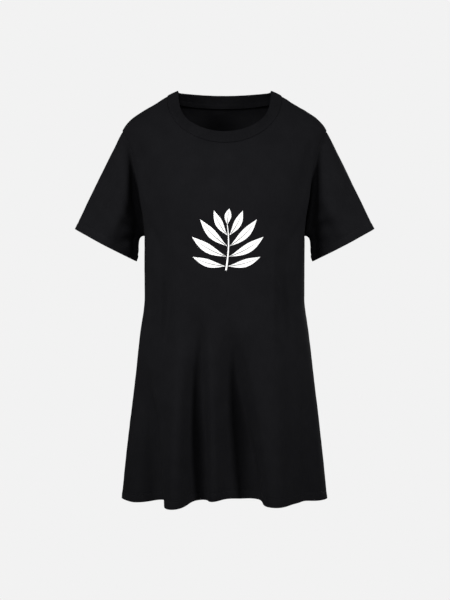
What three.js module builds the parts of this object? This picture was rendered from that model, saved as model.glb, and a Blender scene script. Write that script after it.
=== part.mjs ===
// A short-sleeved t-shirt dress in black cotton jersey, filled out as when worn, with nobody in it.
// It is cut and sewn from a front, a back, two set-in sleeves, a ribbed neckband and a tape over the
// back neck seam. The hem and both cuffs are turned up inside.
// Millimetres, +Z up, front towards -Y. The origin lies midway between the two points where the
// shoulder seams meet the neckband. Heights are given as a drop below those points.
import * as THREE from "three";

// Cloth and seams
const WALL = 1.5; // jersey
const BAND_WALL = 2.4; // rib, folded double
const TAPE_WALL = 1.0;
const TAPE_CLEAR = 0.8; // between the tape and the neckband
const SEAM_GAP = 0.6; // between the edges of two panels that are sewn together
const TURN_UP = 20; // depth of the hem and of the cuffs
const TURN_STEP = 1.5; // the turn-up's edge, over which the wall thickens

// Body
const NECK_POINT = 6; // drop of the seam point between neckband and shoulder
const SHOULDER_TIP = 80;
const UNDERARM = 302;
const HEM = 850; // at the side seams
const FRONT_HEM_RISE = 20; // the bust and the flare lift the hem towards the centre
const BACK_HEM_RISE = 8;
const FOLD_SAG = 0.2; // how much lower the hem hangs on a fold, for each mm it stands out
const FOLD_GROWTH = 1.4; // above 1, a fold opens late and fast
const SHOULDER_CURVE = 1.25; // above 1, the columns crowd towards the neck end of the shoulder seam
const ROUNDNESS = 2.2; // exponent of the oval sections
const ARMHOLE_DEPTH = 46; // how far the armhole reaches in front of and behind its middle

// Neck
const NECK_HALF = 119;
const FRONT_NECK = 101; // below the neck points
const BACK_NECK = 16;
const BAND_WIDTH = 25;
const BAND_LEAN = { front: 27, back: 25, side: 66 }; // degrees from upright
const SIDE_LEAN_SPREAD = 3; // the higher, the closer the side's lean stays to the neck points
const TAPE = { below: 3, above: 7 }; // on either side of the back neck seam

// Sleeves, for the one at +X
const CUFF_OUTER = { across: 313, drop: 282 };
const CUFF_INNER = { across: 184, drop: 350 };
const CUFF_DEPTH = 38; // half of the cuff, front to back
const CUFF_FORWARD = 4;
const SLEEVE_SWELL = 0.45; // how much the sleeve bulges past the armhole seam
const UNDERARM_DIP = 0.1; // how steeply the underarm leaves the armhole, down for each mm out
const SLEEVE_FOLD_GROWTH = 1.5;

// Facets
const HALF_COLUMNS = 24; // from the centre front to a side seam
const NECK_COLUMNS = 12; // of those, the ones that end at the neckline
const ARM_ROWS = 12; // from the underarm to the shoulder tip
const NECK_FAN = 120; // how far columns swing out, so that they meet the neckline's side at an angle
const ARMHOLE_REACH = 6; // the higher, the fewer columns bend along with the armhole
const MITRE_LIMIT = 0.65; // keeps the wall's edge short where a seam is a sharp corner
const SAME_POINT = 0.01; // two panels' points this close are one point of their seam
const SKIRT_ROWS = [0.07, 0.16, 0.25, 0.34, 0.43, 0.52, 0.61, 0.7, 0.78, 0.86, 0.93];
const SLEEVE_ROWS = [0, 0.1, 0.24, 0.4, 0.56, 0.72, 0.87];
const BAND_ROWS = [0, 0.3, 0.7, 1];

// Level sections of the body: the half-width and the depths of an oval. The shoulder line and the side
// seams lie at its ends, and the armhole cuts its ends off.
const BODY = [
  { drop: 6, half: 119, front: 9, back: 20 },
  { drop: 9, half: 124, front: 12, back: 30 },
  { drop: 14, half: 132, front: 16, back: 48 },
  { drop: 21, half: 142, front: 21, back: 64 },
  { drop: 38, half: 171, front: 35, back: 77 },
  { drop: 55, half: 195, front: 48, back: 85 },
  { drop: 70, half: 208, front: 59, back: 91 },
  { drop: 80, half: 213, front: 66, back: 95 },
  { drop: 101, half: 208, front: 81, back: 100 },
  { drop: 134, half: 199, front: 101, back: 105 },
  { drop: 181, half: 190, front: 119, back: 107 },
  { drop: 220, half: 183, front: 129, back: 105 },
  { drop: 266, half: 172, front: 134, back: 103 },
  { drop: 302, half: 167, front: 135, back: 100 },
  { drop: 425, half: 167, front: 136, back: 98 },
  { drop: 496, half: 176, front: 139, back: 101 },
  { drop: 580, half: 186, front: 143, back: 108 },
  { drop: 664, half: 196, front: 147, back: 115 },
  { drop: 748, half: 206, front: 151, back: 121 },
  { drop: 850, half: 217, front: 156, back: 127 },
];

// Soft folds that grow from their top down to the hem. Across runs from -1 at the side seam on -X to 1
// at the one on +X. A ridge stands out by its depth at the hem, and a trough has a negative depth.
const FOLDS = [
  { face: "front", top: 600, acrossTop: -0.93, acrossHem: -0.84, width: 0.08, depth: 6 },
  { face: "front", top: 600, acrossTop: -0.85, acrossHem: -0.64, width: 0.075, depth: -14 },
  { face: "front", top: 400, acrossTop: -0.54, acrossHem: -0.44, width: 0.14, depth: 32 },
  { face: "front", top: 500, acrossTop: -0.27, acrossHem: -0.225, width: 0.075, depth: -12 },
  { face: "front", top: 540, acrossTop: 0.0, acrossHem: 0.03, width: 0.15, depth: -22 },
  { face: "front", top: 560, acrossTop: 0.05, acrossHem: 0.22, width: 0.08, depth: -9 },
  { face: "front", top: 430, acrossTop: 0.55, acrossHem: 0.45, width: 0.17, depth: 24 },
  { face: "front", top: 600, acrossTop: 0.86, acrossHem: 0.78, width: 0.07, depth: -5 },
  { face: "back", top: 440, acrossTop: -0.6, acrossHem: -0.56, width: 0.12, depth: 20 },
  { face: "back", top: 520, acrossTop: -0.32, acrossHem: -0.3, width: 0.09, depth: -17 },
  { face: "back", top: 460, acrossTop: 0.02, acrossHem: -0.02, width: 0.12, depth: 18 },
  { face: "back", top: 540, acrossTop: 0.26, acrossHem: 0.3, width: 0.08, depth: -18 },
  { face: "back", top: 430, acrossTop: 0.6, acrossHem: 0.57, width: 0.13, depth: 22 },
  { face: "back", top: 620, acrossTop: 0.84, acrossHem: 0.8, width: 0.06, depth: -7 },
];

// Soft folds that fade out at both ends, as the cloth falls from bust and shoulder blades.
const CREASES = [
  { face: "front", top: 320, bottom: 590, acrossTop: -0.7, acrossBottom: -0.71, width: 0.06, depth: -6 },
  { face: "front", top: 320, bottom: 570, acrossTop: 0.71, acrossBottom: 0.72, width: 0.06, depth: -6 },
  { face: "back", top: 230, bottom: 560, acrossTop: -0.72, acrossBottom: -0.68, width: 0.07, depth: -6 },
  { face: "back", top: 240, bottom: 540, acrossTop: 0.74, acrossBottom: 0.7, width: 0.07, depth: -5 },
];

// Folds down a sleeve, at an angle round it: 0 is the outer edge, 90 the front, 180 the underarm.
const SLEEVE_FOLDS = [
  { turn: 48, width: 15, depth: -4 },
  { turn: 84, width: 18, depth: 4 },
  { turn: 128, width: 20, depth: -3 },
  { turn: 236, width: 24, depth: -3 },
  { turn: 305, width: 22, depth: 4 },
];

const CLOTH = { color: 0x161618, roughness: 0.9, metalness: 0 };
const RIB = { color: 0x1a1a1c, roughness: 0.92, metalness: 0 };

const { clamp, lerp, degToRad, radToDeg } = THREE.MathUtils;
const point = (x, y, z) => new THREE.Vector3(x, y, z);
const SPLIT = point(0.6, 0.3, 0.7); // facets at a seam are split from the end that lies lower this way

// A smooth curve through one column of a table, which never overshoots between two rows.
function smoothColumn(table, from, column) {
  const x = table.map((row) => row[from]);
  const y = table.map((row) => row[column]);
  const slope = y.slice(1).map((value, k) => (value - y[k]) / (x[k + 1] - x[k]));
  const tangent = y.map((_, k) => {
    if (k === 0) return slope[0];
    if (k === y.length - 1) return slope[k - 1];
    const [before, after] = [slope[k - 1], slope[k]];
    return before * after <= 0 ? 0 : (2 * before * after) / (before + after);
  });
  return (at) => {
    const k = Math.max(0, x.findLastIndex((value, i) => value <= at && i < x.length - 1));
    const span = x[k + 1] - x[k];
    const t = clamp((at - x[k]) / span, 0, 1);
    return (
      y[k] * (1 + 2 * t) * (1 - t) ** 2 +
      y[k + 1] * t * t * (3 - 2 * t) +
      tangent[k] * span * t * (1 - t) ** 2 -
      tangent[k + 1] * span * t * t * (1 - t)
    );
  };
}

const halfAt = smoothColumn(BODY, "drop", "half");
const depthAt = {
  front: smoothColumn(BODY, "drop", "front"),
  back: smoothColumn(BODY, "drop", "back"),
};

// How open the armhole is at a drop: 0 at the underarm and the shoulder tip, 1 halfway.
function armholeOpening(drop) {
  const middle = (UNDERARM + SHOULDER_TIP) / 2;
  const share = (drop - middle) / ((UNDERARM - SHOULDER_TIP) / 2);
  return Math.sqrt(Math.max(0, 1 - share * share));
}

// The quarter oval: 1 at the centre, 0 at the end. It is its own inverse.
const oval = (share) => (1 - Math.min(1, share) ** ROUNDNESS) ** (1 / ROUNDNESS);

// Half the width of a panel at a drop, from the centre to the shoulder line, the armhole or the side.
function edgeAt(face, drop) {
  return halfAt(drop) * oval((ARMHOLE_DEPTH * armholeOpening(drop)) / depthAt[face](drop));
}

const bell = (x) => Math.exp(-x * x);

// How far the folds push the cloth out at a place on the body.
function foldsAt(face, across, drop) {
  let out = 0;
  for (const fold of FOLDS.filter((f) => f.face === face)) {
    const share = clamp((drop - fold.top) / (HEM - fold.top), 0, 1);
    const middle = lerp(fold.acrossTop, fold.acrossHem, share);
    out += fold.depth * share ** FOLD_GROWTH * bell((across - middle) / fold.width);
  }
  for (const crease of CREASES.filter((c) => c.face === face)) {
    const share = clamp((drop - crease.top) / (crease.bottom - crease.top), 0, 1);
    const middle = lerp(crease.acrossTop, crease.acrossBottom, share);
    out += crease.depth * Math.sin(Math.PI * share) ** 2 * bell((across - middle) / crease.width);
  }
  return out;
}

// The body's surface at a distance across from the centre line and a drop.
function bodyPoint(face, x, drop) {
  const [half, centre] = [halfAt(drop), depthAt[face](drop)];
  const bulge = oval(Math.abs(x) / half);
  const outward = new THREE.Vector2(x / half / half, bulge / centre).normalize();
  const fold = foldsAt(face, x / half, drop);
  const towards = face === "front" ? -1 : 1;
  return point(x + outward.x * fold, towards * (centre * bulge + outward.y * fold), -drop);
}

// The upper edge of a panel: the neckline between the neck points, and the shoulder line outside them.
function topEdge(face, column) {
  const beyond = Math.abs(column) - NECK_COLUMNS;
  if (beyond <= 0) {
    const turn = ((column / NECK_COLUMNS) * Math.PI) / 2;
    const neck = face === "front" ? FRONT_NECK : BACK_NECK;
    return { x: NECK_HALF * Math.sin(turn), drop: NECK_POINT + neck * Math.cos(turn) };
  }
  const share = beyond / (HALF_COLUMNS - NECK_COLUMNS);
  const drop = NECK_POINT + (SHOULDER_TIP - NECK_POINT) * share ** SHOULDER_CURVE;
  return { x: Math.sign(column) * halfAt(drop), drop };
}

// The direction square to the body's surface at a point on it, leaving out the folds.
function bodyNormal(face, p) {
  const share = (drop) => {
    const [across, out] = [Math.abs(p.x) / halfAt(drop), Math.abs(p.y) / depthAt[face](drop)];
    return across ** ROUNDNESS + out ** ROUNDNESS;
  };
  const slope = (at, reach) => (ROUNDNESS * (Math.abs(at) / reach) ** (ROUNDNESS - 1)) / reach;
  return point(
    Math.sign(p.x) * slope(p.x, halfAt(-p.z)),
    (face === "front" ? -1 : 1) * slope(p.y, depthAt[face](-p.z)),
    share(-p.z) - share(1 - p.z),
  ).normalize();
}

const columnAcross = (column) => Math.sin(((column / HALF_COLUMNS) * Math.PI) / 2);

function hemDrop(face, across) {
  const rise = face === "front" ? FRONT_HEM_RISE : BACK_HEM_RISE;
  return HEM - rise * oval(Math.abs(across)) + FOLD_SAG * foldsAt(face, across, HEM);
}

// Rows of points of the front or back, from the hem up. Each row runs from one side to the other.
function bodyPanel(face) {
  const columns = Array.from({ length: 2 * HALF_COLUMNS + 1 }, (_, k) => k - HALF_COLUMNS);
  const level = (dropOf) =>
    columns.map((column) => {
      const across = columnAcross(column);
      const drop = dropOf(across);
      return bodyPoint(face, halfAt(drop) * across, drop);
    });
  const rows = [
    level((across) => hemDrop(face, across)),
    level((across) => hemDrop(face, across) - TURN_UP),
    level((across) => hemDrop(face, across) - TURN_UP - TURN_STEP),
  ];
  for (const share of [...SKIRT_ROWS].reverse()) {
    rows.push(level((across) => UNDERARM + share * (hemDrop(face, across) - UNDERARM)));
  }
  for (let row = 0; row <= ARM_ROWS; row++) {
    const rise = (1 - Math.cos((row / ARM_ROWS) * Math.PI)) / 2;
    rows.push(columns.map((column) => yokePoint(face, column, rise)));
  }
  return rows;
}

// A point between the underarm's level, at rise 0, and the panel's upper edge, at rise 1. The outermost
// columns follow the armhole.
function yokePoint(face, column, rise) {
  const across = columnAcross(column);
  const top = topEdge(face, column);
  const drop = lerp(UNDERARM, top.drop, rise);
  const straight = lerp(halfAt(UNDERARM), halfAt(SHOULDER_TIP), rise);
  const inset = edgeAt(face, lerp(UNDERARM, SHOULDER_TIP, rise)) - straight;
  const x = lerp(halfAt(UNDERARM) * across, top.x, rise);
  const outer = (HALF_COLUMNS - Math.abs(column)) / (HALF_COLUMNS - NECK_COLUMNS);
  const nearNeck = Math.min(outer, Math.abs(column / NECK_COLUMNS) ** 3);
  const fan = NECK_FAN * nearNeck * rise ** 3 * (1 - rise);
  return bodyPoint(face, x + Math.sign(across) * (fan + inset * across ** ARMHOLE_REACH), drop);
}

// The armhole seam of the sleeve at +X, at a turn of 0 at the shoulder tip and 180 at the underarm.
function armholePoint(turn) {
  const middle = (UNDERARM + SHOULDER_TIP) / 2;
  const drop = middle - ((UNDERARM - SHOULDER_TIP) / 2) * Math.cos(turn);
  const face = turn < Math.PI ? "front" : "back";
  return point(edgeAt(face, drop), -ARMHOLE_DEPTH * Math.sin(turn), -drop);
}

// The sleeve's surface, from the armhole at share 0 to the cuff at share 1.
function sleevePoint(turn, share) {
  const outer = point(CUFF_OUTER.across, -CUFF_FORWARD, -CUFF_OUTER.drop);
  const inner = point(CUFF_INNER.across, -CUFF_FORWARD, -CUFF_INNER.drop);
  const along = outer.clone().sub(inner).multiplyScalar(0.5);
  const down = point(along.z, 0, -along.x).normalize();
  const cuff = outer.clone().add(inner).multiplyScalar(0.5);
  cuff.addScaledVector(along, Math.cos(turn)).add(point(0, -CUFF_DEPTH * Math.sin(turn), 0));
  const armhole = armholePoint(turn);
  const reach = cuff.distanceTo(armhole);
  const under = (1 - Math.cos(turn)) / 2;
  const leave = down
    .clone()
    .multiplyScalar(1 - under)
    .addScaledVector(point(1, 0, -UNDERARM_DIP), under)
    .add(point(0, -SLEEVE_SWELL * Math.sin(turn), 0))
    .normalize();
  const [s, r] = [share, 1 - share];
  const surface = armhole
    .multiplyScalar((1 + 2 * s) * r * r)
    .addScaledVector(cuff, s * s * (3 - 2 * s))
    .addScaledVector(leave, reach * s * r * r)
    .addScaledVector(down, -reach * s * s * r);
  const degrees = radToDeg(turn);
  const outward = along.clone().normalize().multiplyScalar(Math.cos(turn));
  outward.add(point(0, -Math.sin(turn), 0));
  for (const fold of SLEEVE_FOLDS) {
    const depth = fold.depth * share ** SLEEVE_FOLD_GROWTH;
    surface.addScaledVector(outward, depth * bell((degrees - fold.turn) / fold.width));
  }
  return surface;
}

// How much of the sleeve's run at a turn its cuff takes up.
function cuffShare(turn) {
  return TURN_UP / sleevePoint(turn, 1).distanceTo(armholePoint(turn));
}

// Rings of a sleeve from the armhole to the cuff. Side is 1 at +X, which is the wearer's left, or -1.
function sleeveRings(side) {
  const turns = Array.from({ length: 2 * ARM_ROWS }, (_, k) => (k / ARM_ROWS) * Math.PI);
  const ring = (shareOf) =>
    turns.map((turn) => {
      const p = sleevePoint(turn, shareOf(turn));
      return point(side * p.x, p.y, p.z);
    });
  const rings = SLEEVE_ROWS.map((row) => ring((turn) => row * (1 - cuffShare(turn))));
  rings.push(ring((turn) => 1 - cuffShare(turn) * (1 + TURN_STEP / TURN_UP)));
  rings.push(ring((turn) => 1 - cuffShare(turn)));
  rings.push(ring(() => 1));
  return rings;
}

// The neck seam, all round from the neck point on +X, by way of the front.
function neckSeam() {
  const loop = [];
  for (let column = NECK_COLUMNS; column > -NECK_COLUMNS; column--) {
    const { x, drop } = topEdge("front", column);
    loop.push(bodyPoint("front", x, drop));
  }
  for (let column = -NECK_COLUMNS; column < NECK_COLUMNS; column++) {
    const { x, drop } = topEdge("back", column);
    loop.push(bodyPoint("back", x, drop));
  }
  return loop;
}

// Rows of the neckband, from its seam to its free inner edge. It leans in towards the neck.
function neckband() {
  const seam = neckSeam();
  return BAND_ROWS.map((share) =>
    seam.map((p, k) => {
      const before = seam[(k + seam.length - 1) % seam.length];
      const after = seam[(k + 1) % seam.length];
      const inward = point(after.y - before.y, before.x - after.x, 0).normalize();
      const sideways = Math.abs(p.x / NECK_HALF) ** SIDE_LEAN_SPREAD;
      const upright = p.y < 0 ? BAND_LEAN.front : BAND_LEAN.back;
      const lean = degToRad(lerp(upright, BAND_LEAN.side, sideways));
      const reach = BAND_WIDTH * share;
      return p
        .clone()
        .addScaledVector(inward, reach * Math.sin(lean))
        .add(point(0, 0, reach * Math.cos(lean)));
    }),
  );
}

// Unit normals of a grid of points, from its neighbours. A closed grid joins its last column to its first.
function gridNormals(rows, closed) {
  const count = rows[0].length;
  return rows.map((row, j) =>
    row.map((_, i) => {
      const wrap = (k) => (closed ? (k + count) % count : clamp(k, 0, count - 1));
      const across = row[wrap(i + 1)].clone().sub(row[wrap(i - 1)]);
      const up = rows[Math.min(j + 1, rows.length - 1)][i].clone().sub(rows[Math.max(j - 1, 0)][i]);
      return across.cross(up).normalize();
    }),
  );
}

// A panel is a grid of points with a normal at each, its two thicknesses, and which of its edges are sewn:
// its first row, its last row, and the two ends of its rows. A turned grid has its rows reversed, so that
// its normals look outwards, and thickRows says which rows have the turn-up behind them.
function panel(rows, { face, closed = false, turned = false, seams, thickness = WALL, thickRows }) {
  const points = turned ? rows.map((row) => [...row].reverse()) : rows;
  const normals = gridNormals(points, closed);
  const yoke = points.length - ARM_ROWS;
  for (let j = yoke; face && j < points.length; j++) {
    normals[j] = points[j].map((p) => bodyNormal(face, p));
  }
  const inside = (j) => thickness / 2 + (thickRows?.(j) ? WALL : 0);
  return { rows: points, normals, closed, seams, outside: thickness / 2, inside };
}

// Panels that meet at a seam share its points, and there both walls lean along the mean of their normals.
function leanAt(panels, p) {
  const lean = point(0, 0, 0);
  for (const { rows, normals } of panels) {
    rows.forEach((row, j) =>
      row.forEach((q, i) => {
        if (q.distanceToSquared(p) < SAME_POINT ** 2) lean.add(normals[j][i]);
      }),
    );
  }
  return lean.normalize();
}

// Moves a seam's point back into its own panel by half the gap, square to the seam and to its lean.
function pullBack(p, lean, inside, before, after) {
  const back = after.clone().sub(before).cross(lean).normalize();
  if (back.dot(inside.clone().sub(p)) < 0) back.negate();
  return back.multiplyScalar(SEAM_GAP / 2);
}

// A closed solid wall on a panel's grid.
function wall(name, look, panels) {
  const { rows, normals, closed, seams, outside, inside } = panels[name];
  const [height, count] = [rows.length, rows[0].length];
  const last = { row: height - 1, column: count - 1 };
  const outer = [];
  const inner = [];
  rows.forEach((row, j) =>
    row.forEach((p, i) => {
      const beside = closed
        ? [row[(i + last.column) % count], row[(i + 1) % count]]
        : [row[Math.max(i - 1, 0)], row[Math.min(i + 1, last.column)]];
      const above = [rows[Math.max(j - 1, 0)][i], rows[Math.min(j + 1, last.row)][i]];
      const sewn = [];
      if (seams.includes("first") && j === 0) sewn.push([rows[1][i], ...beside]);
      if (seams.includes("last") && j === last.row) sewn.push([rows[j - 1][i], ...beside]);
      if (seams.includes("ends") && i === 0) sewn.push([row[1], ...above]);
      if (seams.includes("ends") && i === last.column) sewn.push([row[i - 1], ...above]);
      const normal = normals[j][i];
      const lean = sewn.length ? leanAt(Object.values(panels), p) : normal;
      const reach = 1 / Math.max(MITRE_LIMIT, lean.dot(normal));
      const moved = p.clone();
      for (const [neighbour, before, after] of sewn) {
        moved.add(pullBack(p, lean, neighbour, before, after));
      }
      outer.push(moved.clone().addScaledVector(lean, reach * outside));
      inner.push(moved.clone().addScaledVector(lean, -reach * inside(j)));
    }),
  );
  const faces = [];
  const behind = height * count;
  const quad = (a, b, c, d) => faces.push(a, b, c, a, c, d);
  const across = closed ? count : count - 1;
  for (let j = 0; j + 1 < height; j++) {
    for (let i = 0; i < across; i++) {
      const [a, b] = [j * count + i, j * count + ((i + 1) % count)];
      const [c, d] = [b + count, a + count];
      quad(a, b, c, d);
      quad(behind + d, behind + c, behind + b, behind + a);
    }
  }
  // The wall's edges. Both panels at a seam split each facet there the same way.
  const order = rows.flat().map((p) => p.dot(SPLIT));
  const edge = (a, b) => {
    if (order[a] < order[b]) quad(a, behind + a, behind + b, b);
    else quad(behind + a, behind + b, b, a);
  };
  for (let i = 0; i < across; i++) {
    const next = (i + 1) % count;
    edge(i, next);
    edge(last.row * count + next, last.row * count + i);
  }
  for (let j = 0; !closed && j + 1 < height; j++) {
    const [start, end] = [j * count, j * count + last.column];
    edge(start + count, start);
    edge(end, end + count);
  }
  const geometry = new THREE.BufferGeometry();
  const positions = [...outer, ...inner].flatMap((p) => p.toArray());
  geometry.setAttribute("position", new THREE.Float32BufferAttribute(positions, 3));
  geometry.setIndex(faces);
  const mesh = new THREE.Mesh(geometry, new THREE.MeshStandardMaterial(look));
  mesh.name = name;
  return mesh;
}

// The tape over the back neck seam, laid inside it from one shoulder seam to the other.
function neckTape() {
  const band = neckband();
  const [seam, free] = [band[0], band[band.length - 1]];
  const clear = BAND_WALL / 2 + TAPE_CLEAR + TAPE_WALL / 2;
  const columns = Array.from({ length: 2 * NECK_COLUMNS - 1 }, (_, k) => NECK_COLUMNS - 1 - k);
  return [-TAPE.below, 0, TAPE.above].map((reach) =>
    columns.map((column) => {
      const place = column + seam.length - NECK_COLUMNS;
      const up = free[place].clone().sub(seam[place]).normalize();
      const along = seam[(place + 1) % seam.length].clone().sub(seam[place - 1]);
      const inward = along.cross(up).normalize();
      return seam[place].clone().addScaledVector(up, reach).addScaledVector(inward, clear);
    }),
  );
}

const hem = (row) => row < 2;
const cuff = (row) => row > SLEEVE_ROWS.length;
const body = { seams: ["ends", "last"], thickRows: hem };
const sleeve = { closed: true, seams: ["first"], thickRows: cuff };
const panels = {
  front: panel(bodyPanel("front"), { ...body, face: "front" }),
  back: panel(bodyPanel("back"), { ...body, face: "back", turned: true }),
  sleeve_left: panel(sleeveRings(1), sleeve),
  sleeve_right: panel(sleeveRings(-1), { ...sleeve, turned: true }),
  neckband: panel(neckband(), { closed: true, turned: true, seams: ["first"], thickness: BAND_WALL }),
  neck_tape: panel(neckTape(), { seams: [], thickness: TAPE_WALL }),
};

const dress = new THREE.Group();
for (const name of Object.keys(panels)) {
  dress.add(wall(name, name === "neckband" ? RIB : CLOTH, panels));
}

export default dress;
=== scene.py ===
"""A short-sleeved t-shirt dress in black cotton jersey, filled out as when worn, with nobody in it."""

import math

import bpy
import numpy as np
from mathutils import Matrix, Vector


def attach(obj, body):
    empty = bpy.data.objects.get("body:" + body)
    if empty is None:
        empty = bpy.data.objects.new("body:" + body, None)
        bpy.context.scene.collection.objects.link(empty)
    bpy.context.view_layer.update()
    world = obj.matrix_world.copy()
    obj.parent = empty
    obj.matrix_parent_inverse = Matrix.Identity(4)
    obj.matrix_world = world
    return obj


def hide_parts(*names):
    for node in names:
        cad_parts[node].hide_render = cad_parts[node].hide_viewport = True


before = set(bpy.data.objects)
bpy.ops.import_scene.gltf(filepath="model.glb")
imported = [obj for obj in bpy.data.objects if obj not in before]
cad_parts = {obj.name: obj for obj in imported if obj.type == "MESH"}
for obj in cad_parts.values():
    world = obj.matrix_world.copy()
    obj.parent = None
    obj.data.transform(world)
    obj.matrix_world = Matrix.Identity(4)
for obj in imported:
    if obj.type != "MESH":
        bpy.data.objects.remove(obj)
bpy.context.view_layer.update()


# Front panel
# One piece of black cotton single jersey, cut from the shoulders to the hem, plain above and flared
# below. Its hem is turned up inside. It is drawn as a shell a little thicker than the real cloth.
MM = 0.001
JERSEY_THICK = 0.8
TURN_UP = 20
HALF_COLUMNS = 24  # from the centre front to a side seam
NECK_COLUMNS = 12  # of those, the ones that end at the neckline
COLUMN_STEP = 0.25
SKIRT_ROWS = 112  # from the underarm's level down to the hem
YOKE_ROWS = 80  # from there up to the neckline and the shoulders
NECK_POINT, SHOULDER_TIP, UNDERARM, HEM = 6, 80, 302, 850  # drops below the neck points
NECK_HALF = 119
NECK_DEPTH = {"front": 101, "back": 16}
NECK_DIP = {"front": 1.7, "back": 0.3}  # how much deeper the neck seam lies than the others
HEM_RISE = {"front": 20, "back": 8}
ARMHOLE_DEPTH = 46  # from its middle to the front and to the back
CUFF_OUTER = np.array([313.0, -4.0, -282.0])
CUFF_INNER = np.array([184.0, -4.0, -350.0])
ROUNDNESS = 2.2  # of a level section, where an ellipse has 2
NECK_FAN = 120  # how far the columns below the neckline spread out
ARMHOLE_REACH = 6  # the higher, the fewer columns bend in beside the armhole

# Level sections of the body: drop, half-width, depth in front and depth behind.
BODY = np.array(
    [
        (6, 119, 9, 20),
        (9, 124, 12, 30),
        (14, 132, 16, 48),
        (21, 142, 21, 64),
        (38, 171, 35, 77),
        (55, 195, 48, 85),
        (70, 208, 59, 91),
        (80, 213, 66, 95),
        (101, 208, 81, 100),
        (134, 199, 101, 105),
        (181, 190, 119, 107),
        (220, 183, 129, 105),
        (266, 172, 134, 103),
        (302, 167, 135, 100),
        (425, 167, 136, 98),
        (496, 176, 139, 101),
        (580, 186, 143, 108),
        (664, 196, 147, 115),
        (748, 206, 151, 121),
        (850, 217, 156, 127),
    ],
    float,
)

# Folds that open from their top down to the hem: top, place across at the top and at the hem, width
# and depth. Across runs from -1 to 1 between the side seams.
FOLDS = {
    "front": [
        (600, -0.93, -0.84, 0.08, 6),
        (600, -0.85, -0.64, 0.075, -14),
        (400, -0.54, -0.44, 0.14, 32),
        (500, -0.27, -0.225, 0.075, -12),
        (540, 0.0, 0.03, 0.15, -22),
        (560, 0.05, 0.22, 0.08, -9),
        (430, 0.55, 0.45, 0.17, 24),
        (600, 0.86, 0.78, 0.07, -5),
    ],
    "back": [
        (440, -0.6, -0.56, 0.12, 20),
        (520, -0.32, -0.3, 0.09, -17),
        (460, 0.02, -0.02, 0.12, 18),
        (540, 0.26, 0.3, 0.08, -18),
        (430, 0.6, 0.57, 0.13, 22),
        (620, 0.84, 0.8, 0.06, -7),
    ],
}

# Folds that fade out at both ends: top, bottom, place across at each, width and depth.
FALLS = {
    "front": [(320, 590, -0.7, -0.71, 0.06, -6), (320, 570, 0.71, 0.72, 0.06, -6)],
    "back": [(230, 560, -0.72, -0.68, 0.07, -6), (240, 540, 0.74, 0.7, 0.07, -5)],
}

# Creases, listed one by one. Each runs through three places, given across and down in mm, and has a width
# on its left and on its right and a depth, which is negative for a trough.
FRONT_CREASES = [
    ((-176, 540), (-148, 710), (-112, 1000), 28, 14, -24.0),
    ((-54, 430), (-48, 680), (-44, 1080), 26, 12, -27.0),
    ((-25, 470), (-23, 700), (-17, 1010), 16, 20, 4.0),
    ((4, 450), (38, 700), (76, 1060), 34, 19, -44.0),
    ((-86, 500), (-92, 700), (-99, 980), 15, 18, 5.0),
    ((-128, 650), (-128, 750), (-134, 930), 8, 11, 2.0),
    ((118, 560), (126, 710), (130, 900), 11, 16, -3.6),
    ((168, 560), (165, 700), (160, 880), 10, 16, -6.0),
    ((190, 670), (191, 770), (192, 900), 8, 9, 2.4),
    ((-117, 300), (-118, 430), (-122, 620), 11, 16, -4.0),
    ((-99, 280), (-98, 400), (-97, 540), 9, 7, 2.2),
    ((119, 295), (119, 425), (122, 590), 18, 13, -4.0),
    ((101, 285), (100, 400), (99, 545), 7, 9, 2.0),
    ((-186, 92), (-173, 128), (-164, 182), 8, 9, -4.0),
    ((185, 94), (173, 130), (165, 178), 9, 8, -3.7),
    ((-176, 146), (-160, 196), (-148, 274), 9, 12, -3.4),
    ((177, 142), (161, 192), (149, 262), 12, 9, -3.1),
    ((-160, 266), (-140, 300), (-108, 384), 10, 8, -3.6),
    ((160, 260), (143, 296), (117, 362), 8, 10, -3.2),
    ((-112, 60), (-126, 96), (-150, 130), 12, 10, -2.0),
    ((114, 58), (128, 92), (149, 132), 10, 12, -2.1),
    ((-66, 126), (-92, 164), (-130, 196), 14, 17, -1.4),
    ((70, 122), (96, 158), (128, 204), 17, 14, -1.3),
    ((-34, 380), (-20, 450), (-12, 540), 16, 20, -1.8),
    ((40, 360), (60, 430), (84, 530), 18, 14, -1.6),
    ((140, 380), (132, 460), (130, 560), 11, 14, -2.2),
    ((-150, 390), (-143, 470), (-140, 580), 12, 11, -2.6),
]


def smooth_column(column):
    """A curve through one column of BODY that never overshoots between two rows."""
    drops, values = BODY[:, 0], BODY[:, column]
    slope = np.diff(values) / np.diff(drops)
    before, after = slope[:-1], slope[1:]
    same_way = before * after > 0
    mean = 2 * before * after / np.where(same_way, before + after, 1)
    tangent = np.concatenate([slope[:1], np.where(same_way, mean, 0), slope[-1:]])

    def at(drop):
        drop = np.asarray(drop, float)
        k = np.clip(np.searchsorted(drops, drop, side="right") - 1, 0, len(drops) - 2)
        span = drops[k + 1] - drops[k]
        t = np.clip((drop - drops[k]) / span, 0, 1)
        return (
            values[k] * (1 + 2 * t) * (1 - t) ** 2
            + values[k + 1] * t * t * (3 - 2 * t)
            + tangent[k] * span * t * (1 - t) ** 2
            - tangent[k + 1] * span * t * t * (1 - t)
        )

    return at


half_at = smooth_column(1)
depth_at = {"front": smooth_column(2), "back": smooth_column(3)}
OUTWARD = {"front": -1, "back": 1}


def lerp(start, end, share):
    return start + (end - start) * share


def bell(x):
    return np.exp(-x * x)


def unit(vectors):
    return vectors / np.maximum(np.linalg.norm(vectors, axis=-1, keepdims=True), 1e-12)


def oval(share):
    """The quarter oval: 1 at the centre, 0 at the end."""
    return (1 - np.minimum(1, share) ** ROUNDNESS) ** (1 / ROUNDNESS)


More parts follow.
